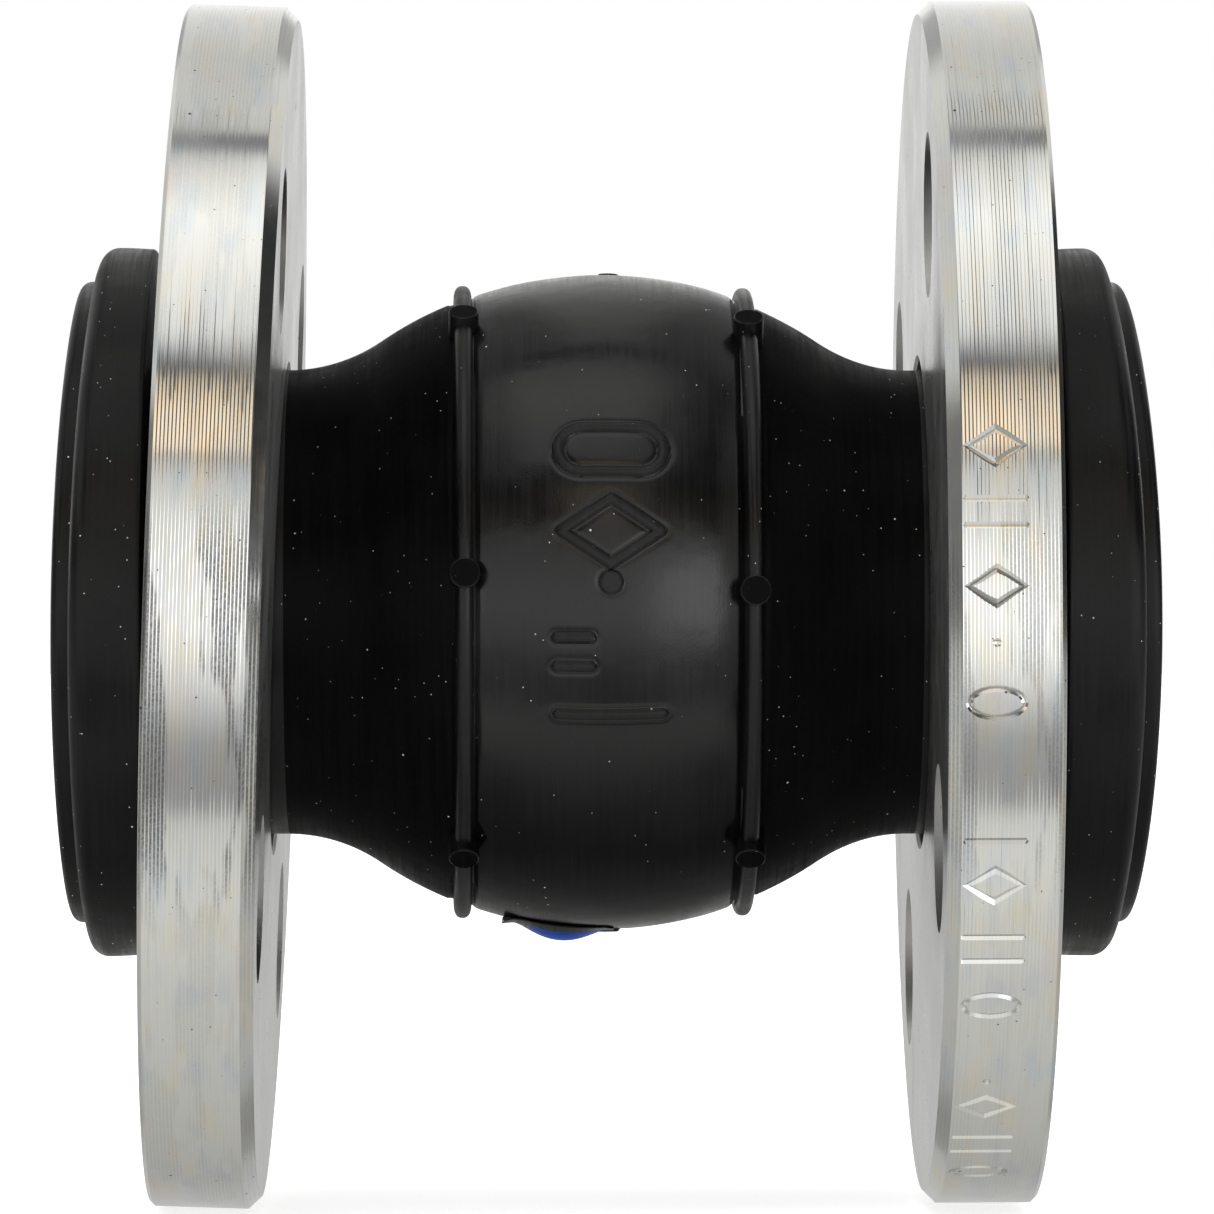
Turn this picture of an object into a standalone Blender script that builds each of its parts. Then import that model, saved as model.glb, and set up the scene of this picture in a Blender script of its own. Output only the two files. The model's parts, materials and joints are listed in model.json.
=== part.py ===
"""Single-arch rubber expansion joint for a one inch pipe, with two floating steel flanges.

The pipe's axis is X, +Z is up, and the origin is the middle of the bellows. All lengths are metres.
The bellows wall is four layers, from the bore outwards: tube, inner ply, outer ply, cover.
Each layer is cut across at the two edges of the arch and at the two flanges, so that the bellows
can move as end, neck, arch, neck, end. A wire hoop lies in each collar, and holds the flange on.
"""

import math

import bmesh
import bpy
from mathutils import Matrix, Vector

MM = 0.001

# Flanges, to the common drilling for a 25 mm pipe at 10 or 16 bar.
FLANGE_RADIUS = 57.5 * MM
FLANGE_THICKNESS = 10.9 * MM
FLANGE_CENTRE_X = 35.55 * MM
FLANGE_BORE_RADIUS = 23.4 * MM
FLANGE_OUTER_CHAMFER = 0.4 * MM
FLANGE_INNER_CHAMFER = 1.2 * MM
BOLT_CIRCLE_RADIUS = 42.5 * MM
BOLT_HOLE_RADIUS = 7.0 * MM
BOLT_HOLE_CHAMFER = 0.75 * MM
BOLT_COUNT = 4
LEFT_FLANGE_LEAN = math.radians(1.8)

# The flanges turn freely on the necks. At rest, the angle of a bolt hole from straight up
# towards the front, -Y.
LEFT_HOLE_ANGLE = math.radians(39)
RIGHT_HOLE_ANGLE = math.radians(32)

# Outer surface of the bellows: a barrel arc over the arch, and a hollow arc down to each neck.
CREST_RADIUS = 31.5 * MM
CREST_ARC = 40.0 * MM
NECK_RADIUS = 22.4 * MM
NECK_ARC = 16.0 * MM
WALL = 9.9 * MM
GAP = 0.3 * MM
COVER = 4.2 * MM
PLY = 0.9 * MM

# Moulded ribs at the edges of the arch, with flat-topped nubs on them.
RIB_X = 13.4 * MM
RIB_HALF_WIDTH = 0.85 * MM
RIB_RISE = 1.4 * MM
RIB_POINTS = 4
NUB_COUNT = 6
NUB_RADIUS = 1.4 * MM
NUB_TOP_RADIUS = 31.0 * MM
NUB_DEPTH = 3.0 * MM
LEFT_NUB_ANGLE = math.radians(4.0)
RIGHT_NUB_ANGLE = math.radians(2.0)

# Where the layers are cut, and the hinge line of each neck.
ARCH_CUT_X = 11.7 * MM
FLANGE_CUT_X = 29.9 * MM
TILT_X = 22.0 * MM

# Collar at each end, and the raised sealing face on it.
COLLAR_BACK_X = 42.6 * MM
COLLAR_FACE_X = 49.3 * MM
COLLAR_RADIUS = 34.0 * MM
COLLAR_EDGE = 1.2 * MM
COLLAR_BACK_EDGE = 0.5 * MM
COLLAR_SKIN = 1.05 * MM
SEAL_FACE_X = 51.0 * MM
SEAL_RADIUS = 30.7 * MM
SEAL_EDGE = 0.7 * MM
SEAL_THICKNESS = 3.0 * MM
MOUTH_EDGE = 0.8 * MM
INNER_PLY_FLARE = 0.7 * MM
PLY_FLARE_GAP = 0.4 * MM
OUTER_PLY_FLARE = 1.8 * MM
OUTER_PLY_FLARE_RADIUS = 25.9 * MM
BEAD_X = 45.25 * MM
BEAD_RADIUS = 27.6 * MM
BEAD_WIRE_RADIUS = 1.3 * MM

# Blank label stuck under the arch.
LABEL_START_X = -9.6 * MM
LABEL_END_X = 1.1 * MM
LABEL_ARC = math.radians(20)
LABEL_THICKNESS = 0.4 * MM

RUBBER_SIDES = 30
FLANGE_SIDES = 60
HOLE_SIDES = 16
BEAD_SIDES = 6
NUB_SIDES = 8
WALL_STATIONS = 5
LABEL_STEPS = 4
SHARP_EDGE = math.radians(35)
PLUG_REACH = 1.0 * MM

# Depth of each layer below the bellows' outer surface.
LAYERS = {
    "cover": (0.0, COVER),
    "outer_ply": (COVER + GAP, COVER + GAP + PLY),
    "inner_ply": (COVER + 2 * GAP + PLY, COVER + 2 * GAP + 2 * PLY),
    "tube": (COVER + 3 * GAP + 2 * PLY, WALL),
}
SIDES = {"left": -1, "right": 1}


def finish(name, colour, roughness, metallic):
    """A Principled material."""
    material = bpy.data.materials.new(name)
    material.use_nodes = True
    shader = material.node_tree.nodes["Principled BSDF"]
    shader.inputs["Base Color"].default_value = (*colour, 1)
    shader.inputs["Roughness"].default_value = roughness
    shader.inputs["Metallic"].default_value = metallic
    material.diffuse_color = (*colour, 1)
    return material


def make_finishes():
    """One material for each kind of material in the joint."""
    rubber = finish("black_rubber", (0.018, 0.018, 0.020), 0.45, 0.0)
    cord = finish("nylon_cord", (0.42, 0.36, 0.26), 0.80, 0.0)
    return {
        "cover": rubber,
        "tube": rubber,
        "outer_ply": cord,
        "inner_ply": cord,
        "flange": finish("zinc_plated_steel", (0.66, 0.66, 0.64), 0.32, 1.0),
        "bead": finish("bright_wire", (0.55, 0.54, 0.52), 0.35, 1.0),
        "label": finish("blue_film", (0.010, 0.060, 0.420), 0.30, 0.0),
    }


def clear_scene():
    for thing in list(bpy.data.objects):
        bpy.data.objects.remove(thing, do_unlink=True)


def add_object(name, bm, material, origin_x=0.0):
    """Turns a bmesh in world coordinates into an object whose origin is on the axis at origin_x."""
    bmesh.ops.recalc_face_normals(bm, faces=bm.faces)
    bmesh.ops.translate(bm, verts=bm.verts, vec=(-origin_x, 0, 0))
    mesh = bpy.data.meshes.new(name)
    bm.to_mesh(mesh)
    bm.free()
    mesh.shade_smooth()
    mesh.set_sharp_from_angle(angle=SHARP_EDGE)
    if material:
        mesh.materials.append(material)
    thing = bpy.data.objects.new(name, mesh)
    thing.location.x = origin_x
    bpy.context.scene.collection.objects.link(thing)
    return thing


def turned(outline, steps):
    """A bmesh ring turned about X from a closed outline of (x, radius) points."""
    bm = bmesh.new()
    ring = [bm.verts.new((x, 0, radius)) for x, radius in outline]
    edges = [bm.edges.new(pair) for pair in zip(ring, ring[1:] + ring[:1])]
    bmesh.ops.spin(
        bm, geom=ring + edges, axis=(1, 0, 0), angle=math.tau, steps=steps, use_merge=True
    )
    return bm


def mirrored(outline, side):
    """The outline on its own side of the middle: side is 1 on the right and -1 on the left."""
    return [(side * x, radius) for x, radius in outline]


def neck_end_x():
    """Distance from the middle at which the hollow arc meets the straight neck."""
    between_centres = CREST_ARC + NECK_ARC
    rise = between_centres - (CREST_RADIUS - NECK_RADIUS)
    return math.sqrt(between_centres**2 - rise**2)


def wall_radius(x, depth):
    """Radius of the bellows wall at x, at a depth below its outer surface."""
    x = abs(x)
    end = neck_end_x()
    crest_arc = CREST_ARC - depth
    neck_arc = NECK_ARC + depth
    if x <= crest_arc * end / (CREST_ARC + NECK_ARC):
        return CREST_RADIUS - CREST_ARC + math.sqrt(crest_arc**2 - x**2)
    if x < end:
        return NECK_RADIUS + NECK_ARC - math.sqrt(neck_arc**2 - (end - x) ** 2)
    return NECK_RADIUS - depth


def wall_line(start, end, depth):
    """Points of the wall at a depth, at even steps of x from start to end."""
    step = (end - start) / (WALL_STATIONS - 1)
    xs = [start + step * i for i in range(WALL_STATIONS)]
    return [(x, wall_radius(x, depth)) for x in xs]


def rib_line():
    """Points over the half-round rib, towards the neck."""
    base = wall_radius(RIB_X, 0)
    points = []
    for i in range(RIB_POINTS + 1):
        angle = math.pi * i / RIB_POINTS
        x = RIB_X - RIB_HALF_WIDTH * math.cos(angle)
        points.append((x, base + RIB_RISE * math.sin(angle)))
    return points


def arc_corner(x, radius, size):
    """Three points round a corner that faces outwards and away from the middle."""
    cos45 = math.cos(math.pi / 4)
    centre = (x - size, radius - size)
    return [(centre[0] + size * c, centre[1] + size * s) for c, s in ((1, 0), (cos45, cos45), (0, 1))]


def make_arch(finishes):
    """The barrel between the two ribs."""
    edge = ARCH_CUT_X - GAP / 2
    for layer, (top, bottom) in LAYERS.items():
        outline = wall_line(-edge, edge, top) + wall_line(edge, -edge, bottom)
        add_object("arch_" + layer, turned(outline, RUBBER_SIDES), finishes[layer])


def add_nubs(cover, side, angle):
    """Joins six short round nubs to the rib of a neck's cover."""
    bm = bmesh.new()
    for i in range(NUB_COUNT):
        turn = Matrix.Rotation(angle + math.tau * i / NUB_COUNT, 4, "X")
        reach = Matrix.Translation((side * RIB_X, 0, NUB_TOP_RADIUS - NUB_DEPTH / 2))
        to_front = Matrix.Rotation(math.pi / 2, 4, "X")
        bmesh.ops.create_cone(
            bm,
            cap_ends=True,
            segments=NUB_SIDES,
            radius1=NUB_RADIUS,
            radius2=NUB_RADIUS,
            depth=NUB_DEPTH,
            matrix=turn.inverted() @ to_front @ reach,
        )
    nubs = add_object(cover.name + "_nubs", bm, None)
    hide_guide(nubs, cover)
    add_boolean(cover, nubs, "UNION")


def hide_guide(guide, parent):
    """Keeps a cutter or another guide out of the model, and at rest against its parent."""
    guide.parent = parent
    guide.matrix_parent_inverse = parent.matrix_basis.inverted()
    guide.hide_render = True
    guide.display_type = "WIRE"


def add_boolean(thing, guide, operation):
    modifier = thing.modifiers.new(operation.lower(), "BOOLEAN")
    modifier.operation = operation
    modifier.solver = "EXACT"
    modifier.object = guide


def make_neck(name, side, nub_angle, finishes):
    """The flexing part between the arch and a flange. Its cover carries the rib and the nubs."""
    start, end = ARCH_CUT_X + GAP / 2, FLANGE_CUT_X - GAP / 2
    for layer, (top, bottom) in LAYERS.items():
        outer = wall_line(start, end, top)
        if layer == "cover":
            flank = wall_line(RIB_X + RIB_HALF_WIDTH, end, top)[1:]
            outer = [outer[0]] + rib_line() + flank
        inner = wall_line(end, start, bottom)
        outline = mirrored(outer + inner, side)
        bm = turned(outline, RUBBER_SIDES)
        thing = add_object(f"{name}_neck_{layer}", bm, finishes[layer], side * TILT_X)
        if layer == "cover":
            add_nubs(thing, side, nub_angle)


def end_outlines():
    """Outlines of the four layers in a collar, on the right side."""
    start = FLANGE_CUT_X + GAP / 2
    radii = {layer: [NECK_RADIUS - depth for depth in LAYERS[layer]] for layer in LAYERS}
    tube_back = SEAL_FACE_X - SEAL_THICKNESS
    inner_back = tube_back - GAP - INNER_PLY_FLARE
    outer_face = inner_back - PLY_FLARE_GAP
    outer_back = outer_face - OUTER_PLY_FLARE
    cover_step = outer_back - GAP
    skin_x = COLLAR_BACK_X + COLLAR_SKIN
    flare = OUTER_PLY_FLARE_RADIUS
    tube, inner, outer, cover = (radii[k] for k in ("tube", "inner_ply", "outer_ply", "cover"))
    return {
        "tube": [
            (start, tube[1]),
            (SEAL_FACE_X - MOUTH_EDGE, tube[1]),
            (SEAL_FACE_X, tube[1] + MOUTH_EDGE),
            (SEAL_FACE_X, SEAL_RADIUS - SEAL_EDGE),
            (SEAL_FACE_X - SEAL_EDGE, SEAL_RADIUS),
            (tube_back, SEAL_RADIUS),
            (tube_back, tube[0]),
            (start, tube[0]),
        ],
        "inner_ply": [
            (start, inner[1]),
            (tube_back - GAP, inner[1]),
            (tube_back - GAP, SEAL_RADIUS),
            (inner_back, SEAL_RADIUS),
            (inner_back, inner[0]),
            (start, inner[0]),
        ],
        "outer_ply": [
            (start, outer[1]),
            (outer_face, outer[1]),
            (outer_face, flare),
            (outer_back, flare),
            (outer_back, outer[0]),
            (start, outer[0]),
        ],
        "cover": [
            (start, cover[1]),
            (cover_step, cover[1]),
            (cover_step, flare - GAP),
            (skin_x, flare - GAP),
            (skin_x, SEAL_RADIUS + GAP),
            (COLLAR_FACE_X, SEAL_RADIUS + GAP),
            *arc_corner(COLLAR_FACE_X, COLLAR_RADIUS, COLLAR_EDGE),
            (COLLAR_BACK_X + COLLAR_BACK_EDGE, COLLAR_RADIUS),
            (COLLAR_BACK_X, COLLAR_RADIUS - COLLAR_BACK_EDGE),
            (COLLAR_BACK_X, NECK_RADIUS),
            (start, NECK_RADIUS),
        ],
    }


def make_end(name, side, finishes):
    """The collar, with the stub of the neck that passes through the flange, and its wire hoop."""
    for layer, outline in end_outlines().items():
        bm = turned(mirrored(outline, side), RUBBER_SIDES)
        add_object(f"{name}_end_{layer}", bm, finishes[layer], side * TILT_X)
    wire = []
    for i in range(BEAD_SIDES):
        angle = math.tau * i / BEAD_SIDES
        x = BEAD_X + BEAD_WIRE_RADIUS * math.cos(angle)
        wire.append((x, BEAD_RADIUS + BEAD_WIRE_RADIUS * math.sin(angle)))
    bm = turned(mirrored(wire, side), RUBBER_SIDES)
    add_object(name + "_bead_ring", bm, finishes["bead"], side * TILT_X)


def flange_outline():
    """Outline of a flange about its own middle, with its pipe side at +X."""
    half = FLANGE_THICKNESS / 2
    return [
        (-half, FLANGE_BORE_RADIUS),
        (half, FLANGE_BORE_RADIUS),
        (half, FLANGE_RADIUS - FLANGE_OUTER_CHAMFER),
        (half - FLANGE_OUTER_CHAMFER, FLANGE_RADIUS),
        (-half + FLANGE_INNER_CHAMFER, FLANGE_RADIUS),
        (-half, FLANGE_RADIUS - FLANGE_INNER_CHAMFER),
    ]


def bolt_hole_cutter(name, first_angle):
    """Four plugs through a flange, each of which also bevels its hole at both faces."""
    half = FLANGE_THICKNESS / 2
    mouth = BOLT_HOLE_RADIUS + BOLT_HOLE_CHAMFER + PLUG_REACH
    outline = [
        (-half - PLUG_REACH, mouth),
        (-half + BOLT_HOLE_CHAMFER, BOLT_HOLE_RADIUS),
        (half - BOLT_HOLE_CHAMFER, BOLT_HOLE_RADIUS),
        (half + PLUG_REACH, mouth),
    ]
    bm = bmesh.new()
    for i in range(BOLT_COUNT):
        turn = Matrix.Rotation(first_angle + math.tau * i / BOLT_COUNT, 3, "X")
        middle = turn @ Vector((0, 0, BOLT_CIRCLE_RADIUS))
        line = [bm.verts.new(middle + Vector((x, 0, radius))) for x, radius in outline]
        edges = [bm.edges.new(pair) for pair in zip(line, line[1:])]
        bmesh.ops.spin(
            bm,
            geom=line + edges,
            cent=middle,
            axis=(1, 0, 0),
            angle=math.tau,
            steps=HOLE_SIDES,
            use_merge=True,
        )
    bmesh.ops.holes_fill(bm, edges=bm.edges, sides=0)
    return add_object(name, bm, None)


def make_flange(name, side, lean, hole_angle, finishes):
    """A flat steel ring with four bolt holes, loose on its neck behind the collar."""
    bm = turned(mirrored(flange_outline(), side), FLANGE_SIDES)
    flange = add_object(name + "_flange", bm, finishes["flange"])
    cutter = bolt_hole_cutter(name + "_bolt_hole_cutter", hole_angle)
    hide_guide(cutter, flange)
    add_boolean(flange, cutter, "DIFFERENCE")
    flange.location.x = side * FLANGE_CENTRE_X
    flange.rotation_euler.y = lean


def make_label(finishes):
    """A small blank label that follows the arch, centred on its underside."""
    inner = wall_line(LABEL_START_X, LABEL_END_X, -GAP)
    outer = wall_line(LABEL_END_X, LABEL_START_X, -GAP - LABEL_THICKNESS)
    outline = inner + outer
    bm = bmesh.new()
    start = Matrix.Rotation(math.pi - LABEL_ARC / 2, 3, "X")
    ring = [bm.verts.new(start @ Vector((x, 0, radius))) for x, radius in outline]
    first = bm.faces.new(ring)
    bmesh.ops.spin(bm, geom=[first], axis=(1, 0, 0), angle=LABEL_ARC, steps=LABEL_STEPS)
    add_object("blank_label", bm, finishes["label"])


def main():
    clear_scene()
    finishes = make_finishes()
    make_arch(finishes)
    make_label(finishes)
    for name, side in SIDES.items():
        nub_angle = LEFT_NUB_ANGLE if name == "left" else RIGHT_NUB_ANGLE
        lean = LEFT_FLANGE_LEAN if name == "left" else 0.0
        hole_angle = LEFT_HOLE_ANGLE if name == "left" else RIGHT_HOLE_ANGLE
        make_neck(name, side, nub_angle, finishes)
        make_end(name, side, finishes)
        make_flange(name, side, lean, hole_angle, finishes)


main()
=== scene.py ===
"""Looks of the rubber expansion joint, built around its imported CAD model.

The pipe's axis is X, +Z is up, and -Y faces the camera. Lengths are metres.
Angles round the pipe are measured from the front, -Y, upwards.
"""

import json
import math

import bmesh
import bpy
import numpy as np
from mathutils import Matrix, Vector, noise


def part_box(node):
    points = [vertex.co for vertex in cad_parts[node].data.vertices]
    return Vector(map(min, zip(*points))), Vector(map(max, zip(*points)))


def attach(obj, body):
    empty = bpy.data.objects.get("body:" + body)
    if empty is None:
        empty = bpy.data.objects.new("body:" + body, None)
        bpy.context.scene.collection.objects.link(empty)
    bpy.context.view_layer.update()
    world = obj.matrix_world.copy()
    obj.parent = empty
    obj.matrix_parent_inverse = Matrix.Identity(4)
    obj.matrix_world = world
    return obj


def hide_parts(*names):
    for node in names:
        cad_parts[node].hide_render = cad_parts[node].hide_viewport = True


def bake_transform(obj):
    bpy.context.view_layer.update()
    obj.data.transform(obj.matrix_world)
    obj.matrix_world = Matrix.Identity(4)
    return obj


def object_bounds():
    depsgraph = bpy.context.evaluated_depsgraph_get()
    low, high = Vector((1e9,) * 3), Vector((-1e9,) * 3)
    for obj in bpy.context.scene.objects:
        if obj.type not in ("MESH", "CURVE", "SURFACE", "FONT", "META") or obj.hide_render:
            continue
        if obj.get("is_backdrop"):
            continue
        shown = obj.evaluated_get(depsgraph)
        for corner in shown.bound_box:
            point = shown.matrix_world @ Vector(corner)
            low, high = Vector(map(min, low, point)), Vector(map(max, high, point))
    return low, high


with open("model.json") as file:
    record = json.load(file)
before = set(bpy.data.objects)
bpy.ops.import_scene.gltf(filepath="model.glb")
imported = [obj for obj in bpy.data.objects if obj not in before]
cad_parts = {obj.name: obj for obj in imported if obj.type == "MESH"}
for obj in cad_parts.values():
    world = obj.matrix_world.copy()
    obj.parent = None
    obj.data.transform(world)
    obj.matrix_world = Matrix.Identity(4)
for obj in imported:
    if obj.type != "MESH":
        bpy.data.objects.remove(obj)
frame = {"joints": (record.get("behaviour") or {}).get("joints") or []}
CAD_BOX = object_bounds()
JOINTS = {joint["name"]: joint for joint in frame["joints"]}

MM = 0.001
SIDES = {"left": -1, "right": 1}

# The bellows wall: a barrel arc, a hollow arc and a straight neck, all a little to the left.
CREST_RADIUS = 31.35 * MM
CREST_ARC = 37.2 * MM
NECK_RADIUS = 22.23 * MM
NECK_ARC = 16.05 * MM
WALL_SHIFT = -0.37 * MM
LAYERS = {
    "cover": (0.0, 4.2 * MM),
    "outer_ply": (4.5 * MM, 5.4 * MM),
    "inner_ply": (5.7 * MM, 6.6 * MM),
    "tube": (6.9 * MM, 9.9 * MM),
}

# Where a section of the wall ends, and where it starts and stops giving way, from the middle.
RIB_X = 13.4 * MM
ARCH_BEND_X = 12.5 * MM
NECK_BEND_X = 14.3 * MM
FLANGE_CUT_X = 29.9 * MM

# Ribs and nubs. The mould's halves sat a little askew, so the ribs lean round the pipe.
RIB_HALF_WIDTH = 0.85 * MM
RIB_RISE = 1.35 * MM
RIB_ROOT = 1.1 * MM
RIB_SKEW = math.tan(math.radians(1.0))
RIB_CREASE = 0.22 * MM
NUB_RADIUS = 1.42 * MM
NUB_TOP_RADIUS = 31.0 * MM
NUB_DEPTH = 3.2 * MM
NUB_EDGE = 0.12 * MM
NUB_ANGLES = {"left": (5, 62, 122, 180, 240, 309), "right": (2, 60, 120, 180, 240, 309)}

# Collars, measured on the CAD model.
COLLAR_FACE_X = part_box("right_end_cover")[1].x
COLLAR_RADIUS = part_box("right_end_cover")[1].z
SEAL_FACE_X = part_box("right_end_tube")[1].x
SEAL_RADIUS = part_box("right_end_tube")[1].z
COLLAR_BACK_X = 42.6 * MM
COLLAR_EDGE = 1.7 * MM
BEAD_X = 45.25 * MM
BEAD_RADIUS = 27.6 * MM
BEAD_WIRE_RADIUS = 1.3 * MM

# Collars hang askew, as rubber does when it isn't bolted up: how far out each one's front
# stands, how far its top and bottom fall back, and how far its top leans in.
COLLAR_WARP = {
    "left": (0.05 * MM, 1.0 * MM, 0.50 * MM),
    "right": (0.55 * MM, 1.7 * MM, 0.40 * MM),
}

# Flanges, about their own middles, with the pipe side at -X on the right one. They lie loose on
# their necks: how far each lies from where its joint has it, along x, y and z, and its lean.
FLANGE_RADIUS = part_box("right_flange")[1].y
FLANGE_THICKNESS = 10.45 * MM
FLANGE_REST = {"left": (-0.43 * MM, 0, -0.45 * MM), "right": (0.03 * MM, 0, 0)}
FLANGE_LEAN = {"left": 0.0, "right": math.radians(-0.3)}
FLANGE_BORE_RADIUS = 23.4 * MM
FLANGE_BORE_EDGE = 0.3 * MM
FLANGE_OUTER_CHAMFER = 0.4 * MM
FLANGE_INNER_CHAMFER = 1.2 * MM
BOLT_CIRCLE_RADIUS = 42.5 * MM
BOLT_HOLE_RADIUS = 7.0 * MM
BOLT_HOLE_CHAMFER = 0.75 * MM
BOLT_COUNT = 4
HOLE_ANGLES = {"left": math.radians(51), "right": math.radians(58)}
GROOVE_COUNT = 26
GROOVE_START = -FLANGE_THICKNESS / 2 + FLANGE_INNER_CHAMFER
GROOVE_PITCH = (FLANGE_THICKNESS / 2 - FLANGE_OUTER_CHAMFER - GROOVE_START) / GROOVE_COUNT
GROOVE_WIDTH = 0.36
GROOVE_DEPTH = {"left": 0.016 * MM, "right": 0.019 * MM}

# How much shallower each rim's grooves are worn on its upper side, and how much more at its top.
GROOVE_WEAR = {"left": (0.5, 0.35), "right": (0.2, 0.5)}

# How dark the smears are on each rim, and how grey the lands between its grooves are painted. Both
# gather in a band round the rim's middle, which mirrors the studio's front, as painted reflection
# streaks; the band fades out between two heights at its top and two at its bottom, down to a share.
RIM_SMEARS_AND_REFLECTION = {"left": (0.85, 0.4), "right": (0.4, 0.12)}
REFLECTION_BAND_TOP = (3 * MM, 11 * MM)
REFLECTION_BAND_BOTTOM = (-30 * MM, -20 * MM)
PAINTED_BAND_REMAINDER = 0.15

# The rubber's reflection is turned down between these heights, underneath and on top: painted
# shade.
PAINTED_SHADE_UNDER = (-24 * MM, -8 * MM)
PAINTED_SHADE_OVER = (8 * MM, 20 * MM)

# How finely things are turned, and the angle in degrees above which an edge is sharp.
RUBBER_STEP = math.radians(1.5)
MARK_STEP = math.radians(0.24)
FLANGE_STEP = math.radians(1)
HOLE_STEPS = 64
ROUND_SIDES = 24
SMOOTH = 50
CRISP = 40
COLLAR_CRISP = 35
FLANGE_CRISP = 12


def wall_radius(x, depth):
    """Radius of the bellows wall at each x, at a depth below its outer surface."""
    x = np.asarray(x, float)
    x = np.abs(x - WALL_SHIFT * np.clip((np.abs(x) - 10 * MM) / (5 * MM), 0, 1))
    centres = CREST_ARC + NECK_ARC
    end = math.sqrt(centres**2 - (centres - CREST_RADIUS + NECK_RADIUS) ** 2)
    crest_arc = CREST_ARC - depth
    neck_arc = NECK_ARC + depth
    crest = CREST_RADIUS - CREST_ARC + np.sqrt(np.maximum(crest_arc**2 - x**2, 0))
    hollow = NECK_RADIUS + NECK_ARC - np.sqrt(np.maximum(neck_arc**2 - (end - x) ** 2, 0))
    radius = np.where(x <= crest_arc * end / centres, crest, hollow)
    return np.where(x < end, radius, NECK_RADIUS - depth)


def wall_line(start, end, depth, count):
    """Points of the wall at a depth, at even steps of x from start to end."""
    xs = np.linspace(start, end, count)
    return list(zip(xs, wall_radius(xs, depth)))


def arc(x, radius, size, start, end, count=6):
    """Points of an arc about (x, radius), from one angle to another in degrees from +x."""
    angles = np.radians(np.linspace(start, end, count))
    return [(x + size * math.cos(a), radius + size * math.sin(a)) for a in angles]


def even_angles(step):
    count = round(math.tau / step)
    return np.arange(count) * math.tau / count


def put(name, data):
    """A new object in the scene."""
    thing = bpy.data.objects.new(name, data)
    bpy.context.scene.collection.objects.link(thing)
    return thing


def mesh_object(name, vertices, faces, smooth_below=SMOOTH):
    """A smooth-shaded object with its faces turned outwards."""
    vertices = np.asarray(vertices, float)
    corners = vertices[np.asarray(faces)]
    normals = np.cross(corners[:, 2] - corners[:, 0], corners[:, 3] - corners[:, 1])
    if (corners.mean(1) * normals).sum() < 0:
        faces = np.asarray(faces)[:, ::-1]
    mesh = bpy.data.meshes.new(name)
    mesh.from_pydata(vertices.tolist(), [], np.asarray(faces).tolist())
    mesh.shade_smooth()
    mesh.set_sharp_from_angle(angle=math.radians(smooth_below))
    return put(name, mesh)


def lathe(name, outline, angles, shape=None, smooth_below=SMOOTH):
    """A ring turned about X from a closed outline of (x, radius) points.

    shape, if given, takes each point's x, radius and angle, and returns its new x and radius.
    """
    outline = np.asarray(outline, float)
    x, a = np.meshgrid(outline[:, 0], angles)
    radius = np.meshgrid(outline[:, 1], angles)[0]
    if shape:
        x, radius = shape(x, radius, a)
    points = np.stack([x, -radius * np.cos(a), radius * np.sin(a)], -1)
    rows, columns = x.shape
    index = np.arange(rows * columns).reshape(rows, columns)
    down = np.roll(index, -1, 0)
    faces = np.stack(
        [index, down, np.roll(down, -1, 1), np.roll(index, -1, 1)], -1
    ).reshape(-1, 4)
    return mesh_object(name, points.reshape(-1, 3), faces, smooth_below)


def mirrored(outline, side):
    return [(side * x, radius) for x, radius in outline]


def combine(thing, tool, operation, smooth_below):
    """Cuts the tool out of the object, or joins it on, and removes the tool."""
    modifier = thing.modifiers.new("combine", "BOOLEAN")
    modifier.operation = operation
    modifier.solver = "EXACT"
    modifier.object = tool
    bpy.context.view_layer.update()
    seen = thing.evaluated_get(bpy.context.evaluated_depsgraph_get())
    mesh = bpy.data.meshes.new_from_object(seen)
    thing.modifiers.clear()
    thing.data = mesh
    bpy.data.objects.remove(tool)
    thing.data.shade_smooth()
    thing.data.set_sharp_from_angle(angle=math.radians(smooth_below))


def bmesh_object(name, bm):
    bmesh.ops.recalc_face_normals(bm, faces=bm.faces)
    mesh = bpy.data.meshes.new(name)
    bm.to_mesh(mesh)
    bm.free()
    return put(name, mesh)


# --- Shader nodes -------------------------------------------------------------------------------


def add(tree, kind, *values, **settings):
    """Adds a node. values are its inputs in order: a socket, a constant, or None to leave it."""
    made = tree.nodes.new("ShaderNode" + kind)
    for key, value in settings.items():
        setattr(made, key, value)
    for socket, value in zip([s for s in made.inputs if s.enabled], values):
        if isinstance(value, bpy.types.NodeSocket):
            tree.links.new(value, socket)
        elif value is not None:
            socket.default_value = value
    return made


def maths(tree, operation, *values):
    return add(tree, "Math", *values, operation=operation).outputs[0]


def times(tree, a, b):
    return maths(tree, "MULTIPLY", a, b)


def spread(tree, value, low, high, to_low=0.0, to_high=1.0):
    """Maps a value from one range to another, smoothly and within its ends."""
    return add(
        tree, "MapRange", value, low, high, to_low, to_high, interpolation_type="SMOOTHSTEP"
    ).outputs[0]


def rgba(colour):
    """A colour, or a level of grey, with its alpha. A socket stays as it is."""
    if isinstance(colour, bpy.types.NodeSocket):
        return colour
    return (*colour, 1) if hasattr(colour, "__len__") else (colour, colour, colour, 1)


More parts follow.
